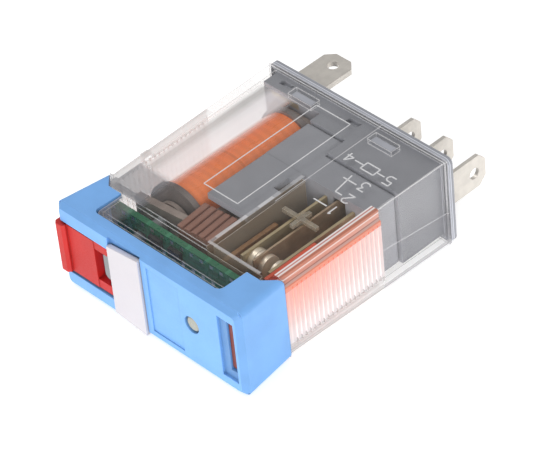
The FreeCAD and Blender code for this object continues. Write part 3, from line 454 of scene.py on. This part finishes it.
def sheen(n):
    """Streaks of soft reflected light over the coil side of the top face, and a painted dark patch
    near its front left: haze and tone.
    """
    place = n.math("DIVIDE", n.math("SUBTRACT", n.x, SHEEN_LEFT), SHEEN_WIDTH)
    front = n.band(n.y, -29.9, -24.4, 0.6)
    rear_end, front_end = n.ramp(n.y, -3.6, -5.2), n.ramp(n.y, -26.0, -29.0, 1.0, 0.3)
    weaker_forward = n.ramp(n.y, -8.0, -20.0, 1.0, 0.72)
    streaks = n.times(n.colour_bands(place, SHEEN_HAZE), rear_end, weaker_forward, front_end)
    # painted dark patch near the front left
    dark_patch = n.times(front, n.ramp(n.x, -8.6, -7.2, 1.0, 0.0), n.ramp(n.x, -14.1, -13.6),
                    DARK_PATCH_HAZE)
    skin = n.ramp(n.y, COVER_FRONT + 0.15, COVER_FRONT - 0.15, 5.85, 5.25)
    above_skin = n.ramp(n.math("SUBTRACT", n.z, skin), 0.0, 0.1)
    on_top = n.times(above_skin, n.ramp(n.size(n.facing_z), 0.8, 0.9))
    tone = n.mix(front, n.colour_bands(place, SHEEN_TONES), DARK_PATCH_TONE)
    return n.times(on_top, n.most(streaks, dark_patch)), tone


def cover_lines(n):
    """Mould lines in the large faces, and the partition's edge seen through them as a painted
    highlight.
    """
    on_face = n.ramp(n.height, OUTER_FACE, OUTER_FACE + 0.1)
    bright = n.most(n.band(n.y, -28.0, -23.0, 0.05), n.band(n.y, -21.0, -18.6, 0.05))
    wall = n.times(n.band(n.x, PARTITION_LEFT + 0.05, PARTITION_LEFT + 0.55, 0.05),
                   n.band(n.y, PARTITION_FRONT + 0.1, PARTITION_REAR, 0.05),
                   n.between(bright, LINE_FAINT, LINE_BRIGHT))
    end = n.times(n.band(n.y, PARTITION_FRONT + 0.05, PARTITION_FRONT + 0.45, 0.05),
                  n.band(n.x, PARTITION_LEFT + 0.1, PARTITION_RIGHT, 0.05), LINE_END)
    along = n.times(n.band(n.x, 4.18, 4.30, 0.02), n.band(n.y, -19.0, -0.6, 0.1), MOULD_LINE)
    return n.times(on_face, n.most(wall, end, along))


def side_line(n):
    """The fine mould line that runs back along the narrow side behind the grip."""
    height = n.math("ADD", n.math("MULTIPLY", n.y, -0.1), -1.6)
    away = n.size(n.math("SUBTRACT", n.z, height))
    return n.times(n.ramp(away, 0.03, 0.09, 0.6, 0.0), n.ramp(n.x, 14.3, 14.5),
                   n.band(n.y, -12.2, -0.9, 0.1))


def partition_faces(n):
    """The inner partition's own faces, which pick up the brown of the contact chamber as painted
    brown light.
    """
    within = n.times(n.ramp(n.height, 5.5, 5.6, 1.0, 0.0),
                     n.band(n.y, PARTITION_FRONT - 0.05, PARTITION_REAR + 0.1, 0.02))
    wall = n.band(n.x, PARTITION_LEFT - 0.05, PARTITION_LEFT + 0.65, 0.02)
    end = n.times(n.band(n.y, PARTITION_FRONT - 0.05, PARTITION_FRONT + 0.5, 0.02),
                  n.band(n.x, PARTITION_LEFT - 0.05, PARTITION_RIGHT + 0.05, 0.02))
    return n.times(within, n.most(wall, end))


def cover_haze(n):
    """How milky the bare cover, its edges and its grips are; the milky edges are painted
    highlights.
    """
    on_side = n.size(n.facing_x)
    cloud = n.math("ADD", n.uneven(scale=0.3, low=0.006, high=0.016), n.times(on_side, SIDE_HAZE))
    # painted highlight along the edges
    edges = n.times(n.edge(0.26), EDGE_HIGHLIGHT_HAZE, n.rest(n.on_grip))
    grip = n.times(n.on_grip, n.between(n.right, GRIP_HAZE, GRIP_HAZE_RIGHT))
    band = n.times(n.on_band, n.between(n.upper_right, BAND_HAZE, BAND_HAZE_WARM))
    low_line = n.times(n.ramp(n.z, -5.62, -5.72), n.ramp(on_side, 0.6, 0.8), LOW_LINE_HAZE)
    return n.most(cloud, edges, grip, band, low_line)


def mirror_share(n):
    """How much the cover's face reflects: little, and more at a glancing view."""
    towards = n.size(n.vector("DOT_PRODUCT", n.geometry.outputs["Incoming"],
                              n.geometry.outputs["Normal"]))
    glancing = n.math("POWER", n.rest(towards), 4.0)
    return n.math("ADD", MIRROR, n.math("MULTIPLY", glancing, MIRROR_GLANCING))


def clear_polycarbonate(name):
    """Clear cover, as thin walls: faint haze, painted highlights on the edges, milky ribs on the
    grips.
    """
    n = CoverNodes(name)
    marks = n.most(cover_lines(n), side_line(n))
    plain = n.rest(n.most(marks, n.on_band))
    sheen_haze, sheen_tone = sheen(n)
    partition = partition_faces(n)
    haze = n.most(cover_haze(n), marks, n.times(sheen_haze, plain),
                  n.times(partition, PARTITION_HAZE))

    # painted shade low on the cover and painted light high up
    tone = n.mix(n.ramp(n.z, -3.0, 1.0), LINE_SHADED, LINE_LIT)
    # painted brown light on the partition
    tone = n.mix(partition, tone, PARTITION_PAINTED_BROWN)
    tone = n.mix(n.times(plain, n.ramp(sheen_haze, 0.0, 0.1)), tone, sheen_tone)
    tone = n.mix(n.on_band, n.mix(n.on_grip, tone, grip_tone(n)), painted_band_lines(n))

    clear = n.see_through(CLEAR_TINT)
    milk = n.principled(Base_Color=tone, Roughness=0.4).outputs[0]
    waves = n.bump(n.noise(scale=0.5), strength=0.1, relief_mm=0.03, normal=n.rounded(0.12))
    gloss = n.add("ShaderNodeBsdfGlossy", Color=(1, 1, 1), Normal=waves,
                  Roughness=n.uneven(scale=1.6, low=0.03, high=0.09)).outputs[0]
    lit = n.blend(mirror_share(n), n.blend(haze, clear, milk), gloss)
    in_shadow = n.add("ShaderNodeLightPath").outputs["Is Shadow Ray"]
    return n.finish(n.blend(n.times(in_shadow, UNSHADED), lit, clear))


# ---------------------------------------------------------------- other see-through materials

def tinted_clear(name, colour, density):
    """Translucent coloured plastic, such as the amber contact carrier."""
    n = Nodes(name)
    streaks = n.uneven(scale=0.8, low=density - 0.08, high=density + 0.08)
    through = n.see_through(tuple(min(1, channel * 1.6) for channel in colour))
    # painted shade in corners
    surface = n.principled(Base_Color=n.tone(colour, n.painted_crevice_shade(depth=0.3)),
                           Roughness=n.uneven(scale=4.0, low=0.2, high=0.4),
                           Normal=n.rounded(0.1))
    return n.finish(n.blend(n.most(streaks, n.edge(0.12)), through, surface.outputs[0]))


INK_THINNEST, INK_THICKEST = 0.53, 0.73     # how well the ink covers


def ink(name, colour):
    """Pad-printed ink: thin, slightly uneven, and a little see-through."""
    n = Nodes(name)
    amount = n.ramp(n.noise(scale=5.0, detail=4), 0.25, 0.7, INK_THINNEST, INK_THICKEST)
    surface = n.principled(Base_Color=colour, Roughness=0.5)
    return n.finish(n.blend(amount, n.see_through((1, 1, 1)), surface.outputs[0]))


# ---------------------------------------------------------------- one material per slot

# corners sets the depth of each plastic's painted corner shade; shading adds painted light and
# shade
MATERIALS = {
    "grey_plastic": moulded("grey_plastic", (0.42, 0.43, 0.475), 0.5, shading=painted_flange_light),
    "clear_plastic": clear_polycarbonate("clear_plastic"),
    "blue_plastic": moulded("blue_plastic", (0.205, 0.465, 0.91), 0.45, corners=0.5,
                            shading=painted_cap_shade),
    "white_plastic": moulded("white_plastic", (0.70, 0.67, 0.70), 0.5, relief=0.006, tone=0.015,
                             corners=0.6),
    "red_plastic": moulded("red_plastic", (0.58, 0.012, 0.008), 0.48, corners=0.85),
    "button_plastic": moulded("button_plastic", (0.28, 0.29, 0.30), 0.5),
    "board_laminate": solder_mask("board_laminate"),
    "lamp_plastic": frosted_lamp("lamp_plastic"),
    "chip_ceramic": moulded("chip_ceramic", (0.03, 0.03, 0.03), 0.4, edge=0.05),
    "bobbin_plastic": moulded("bobbin_plastic", (0.20, 0.17, 0.16), 0.5),
    "coil_wire": wound_wire("coil_wire", (0.72, 0.33, 0.16)),
    "coil_tape": wrapped_tape("coil_tape", (0.90, 0.25, 0.085)),
    "magnet_iron": metal("magnet_iron", (0.38, 0.315, 0.28), 0.5),
    "copper": metal("copper", (0.74, 0.38, 0.22), 0.35),
    "brown_phenolic": moulded("brown_phenolic", (0.29, 0.14, 0.10), 0.4, corners=0.05, edge=0.3),
    "amber_plastic": tinted_clear("amber_plastic", (0.50, 0.29, 0.15), 0.60),
    "spring_bronze": metal("spring_bronze", (0.45, 0.33, 0.22), 0.4),
    "contact_silver": metal("contact_silver", (0.86, 0.76, 0.62), 0.34, brush=(1, 1, 1)),
    # the blades' colour inside the cover is painted darker, as shade
    "blade_tin": metal("blade_tin", (0.74, 0.70, 0.645), 0.42, tarnish=0.06,
                       inside=(0.50, 0.41, 0.25)),
    "card_plastic": tinted_clear("card_plastic", (0.58, 0.53, 0.44), 0.42),
    "flag_plastic": moulded("flag_plastic", (0.80, 0.10, 0.035), 0.4, corners=0.2,
                            shading=painted_flag_shadow),
}
WHITE_INK = ink("white_ink", (0.92, 0.92, 0.93))


def dress_cad_nodes():
    """Each node keeps its CAD shape and gets its slot's material."""
    slots = {part["node"]: part["material_slot"] for part in frame["record"]["subparts"]}
    for name, node in nodes.items():
        node.data.materials.clear()
        node.data.materials.append(MATERIALS[slots[name]])


dress_cad_nodes()


# ---------------------------------------------------------------- printing on the cover

INK_THICK = 0.02


def printed(name, outlines):
    """Ink that stands a hair above the surface: thin slabs, from their corners in mm."""
    mesh = bmesh.new()
    for corners in outlines:
        low = [mesh.verts.new(Vector(corner) * MM) for corner in corners]
        high = [mesh.verts.new(Vector((x, y, z + INK_THICK)) * MM) for x, y, z in corners]
        mesh.faces.new(low)
        mesh.faces.new(high)
        for i in range(len(corners)):
            mesh.faces.new((low[i - 1], low[i], high[i], high[i - 1]))
    bmesh.ops.recalc_face_normals(mesh, faces=mesh.faces)
    data = bpy.data.meshes.new(name)
    mesh.to_mesh(data)
    mesh.free()
    data.materials.append(WHITE_INK)
    piece = bpy.data.objects.new(name, data)
    bpy.context.scene.collection.objects.link(piece)
    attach(piece, "housing")


def cover_top(y):
    """Height of the cover's upper face, which slopes down a little to the front."""
    forward = (y - FLANGE_FRONT) / (COVER_FRONT - FLANGE_FRONT)
    return COVER_TOP_REAR + (COVER_TOP_FRONT - COVER_TOP_REAR) * forward


def stroke(start, end, width):
    """A straight line of ink on the cover's upper face, as four corners."""
    start, end = Vector(start), Vector(end)
    across = (end - start).orthogonal().normalized() * width / 2
    corners = (start - across, end - across, end + across, start + across)
    return [(x, y, cover_top(y)) for x, y in corners]


def polyline(points, width):
    return [stroke(a, b, width) for a, b in zip(points, points[1:])]


FRAME_LEFT, FRAME_RIGHT, FRAME_FRONT, FRAME_REAR, FRAME_LINE = -4.7, 1.1, -22.2, -3.1, 0.15
DIGITS = {"1": [(1, 5), (2, 6), (2, 0)],
          "2": [(0, 5), (1, 6), (3, 6), (4, 5), (4, 4), (0, 0), (4, 0)],
          "3": [(0, 6), (4, 6), (2, 3.6), (3, 3.6), (4, 2.6), (4, 1), (3, 0), (1, 0), (0, 1)],
          "4": [(3, 0), (3, 6), (0, 2), (4, 2)],
          "5": [(4, 6), (0, 6), (0, 3.4), (3, 3.4), (4, 2.4), (4, 1), (3, 0), (0, 0)]}
DIGIT_MIDDLE, DIGIT_UNIT, LINE = (2, 3), 0.26, 0.19
PIN_NUMBERS = {"4": (5.4, -7.6), "5": (12.1, -7.7), "3": (10.6, -10.4), "2": (10.6, -13.2),
               "1": (10.6, -15.8)}
SYMBOLS = [[(7.8, -8.2), (9.9, -8.2), (9.9, -6.9), (7.8, -6.9), (7.8, -8.2)],
           [(6.3, -7.55), (7.8, -7.55)], [(9.9, -7.55), (11.2, -7.55)],
           [(7.4, -10.7), (9.6, -10.7)], [(8.0, -9.8), (8.5, -13.15), (9.6, -13.15)],
           [(7.4, -15.7), (9.6, -15.7)]]


def print_frame():
    """The printed box that frames the marking on the cover."""
    corners = [(FRAME_LEFT, FRAME_FRONT), (FRAME_RIGHT, FRAME_FRONT), (FRAME_RIGHT, FRAME_REAR),
               (FRAME_LEFT, FRAME_REAR)]
    printed("print_frame", polyline(corners + corners[:1], FRAME_LINE))


def print_marks():
    """Pin numbers and the wiring symbols beside them, read from the cap's end."""
    middle_u, middle_v = DIGIT_MIDDLE
    for digit, (x, y) in PIN_NUMBERS.items():
        placed = [(x + (middle_u - u) * DIGIT_UNIT, y + (middle_v - v) * DIGIT_UNIT)
                  for u, v in DIGITS[digit]]
        printed(f"print_number_{digit}", polyline(placed, LINE))
    printed("print_symbols", [line for points in SYMBOLS for line in polyline(points, LINE)])


print_frame()
print_marks()


# ---------------------------------------------------------------- stage, light and camera

FLOOR_HALF = 1.5                    # in metres
FLOOR_COLOUR, FLOOR_GLOW = (0.93, 0.93, 0.93), 0.5
WORLD_LIGHT, BACKDROP = 0.45, 0.95
LIGHT_AIM = Vector((0, -16, 0)) * MM
AZIMUTH, ELEVATION, ROLL = (math.radians(angle) for angle in (49.62, 40.57, -6.12))
CAMERA_TARGET, CAMERA_DISTANCE = Vector((0.41, -16.94, -1.08)) * MM, 387.3 * MM
LENS, SENSOR_WIDTH, NEAREST = 213.5, 36, 0.01
CLEAR_LAYERS = 48                   # clear surfaces that one ray may pass


def make_floor():
    """A pale floor that glows a little, so that it is as bright as the backdrop."""
    low = cad_box[0][2]
    corners = [(x * FLOOR_HALF, y * FLOOR_HALF, low)
               for x, y in ((-1, -1), (1, -1), (1, 1), (-1, 1))]
    mesh = bpy.data.meshes.new("floor")
    mesh.from_pydata(corners, [], [(0, 1, 2, 3)])
    floor = bpy.data.objects.new("floor", mesh)
    bpy.context.scene.collection.objects.link(floor)
    n = Nodes("pale_floor")
    surface = n.principled(Base_Color=FLOOR_COLOUR, Roughness=0.9)
    glow = n.add("ShaderNodeEmission", Color=(1, 1, 1), Strength=FLOOR_GLOW)
    both = n.add("ShaderNodeAddShader")
    n.put(both.inputs[0], surface.outputs[0])
    n.put(both.inputs[1], glow.outputs[0])
    mesh.materials.append(n.finish(both.outputs[0]))


def make_light(name, place_mm, size_mm, watts):
    """A round soft light that looks at the middle of the relay."""
    data = bpy.data.lights.new(name, "AREA")
    data.shape, data.size, data.energy = "DISK", size_mm * MM, watts
    light = bpy.data.objects.new(name, data)
    light.location = Vector(place_mm) * MM
    light.rotation_euler = (LIGHT_AIM - light.location).to_track_quat("-Z", "Y").to_euler()
    bpy.context.scene.collection.objects.link(light)


def make_world():
    """Even soft light from all round, in front of a backdrop as pale as the floor."""
    world = bpy.data.worlds.new("studio")
    world.use_nodes = True
    tree = world.node_tree
    strength = tree.nodes.new("ShaderNodeMapRange")
    seen = tree.nodes.new("ShaderNodeLightPath").outputs["Is Camera Ray"]
    tree.links.new(seen, strength.inputs["Value"])
    strength.inputs["To Min"].default_value = WORLD_LIGHT
    strength.inputs["To Max"].default_value = BACKDROP
    background = tree.nodes["Background"]
    background.inputs["Color"].default_value = (1, 1, 1, 1)
    tree.links.new(strength.outputs[0], background.inputs["Strength"])
    bpy.context.scene.world = world


def make_camera():
    """Long lens, seen from the front right at about 40 degrees, rolled a little."""
    back = Vector((math.sin(AZIMUTH) * math.cos(ELEVATION),
                   -math.cos(AZIMUTH) * math.cos(ELEVATION), math.sin(ELEVATION)))
    data = bpy.data.cameras.new("camera")
    data.lens, data.sensor_width, data.clip_start = LENS, SENSOR_WIDTH, NEAREST
    camera = bpy.data.objects.new("camera", data)
    camera.location = CAMERA_TARGET + CAMERA_DISTANCE * back
    look = Euler((math.pi / 2 - ELEVATION, 0, AZIMUTH)).to_matrix()
    spin = Euler((0, 0, ROLL)).to_matrix()
    camera.rotation_euler = (look @ spin).to_euler()
    bpy.context.scene.collection.objects.link(camera)
    bpy.context.scene.camera = camera


make_floor()
make_world()
make_light("key", place_mm=(260, -330, 150), size_mm=260, watts=0.88)
make_light("fill", place_mm=(-160, -60, 400), size_mm=260, watts=0.5)
make_camera()
bpy.context.scene.view_settings.view_transform = "Standard"
bpy.context.scene.cycles.transparent_max_bounces = CLEAR_LAYERS
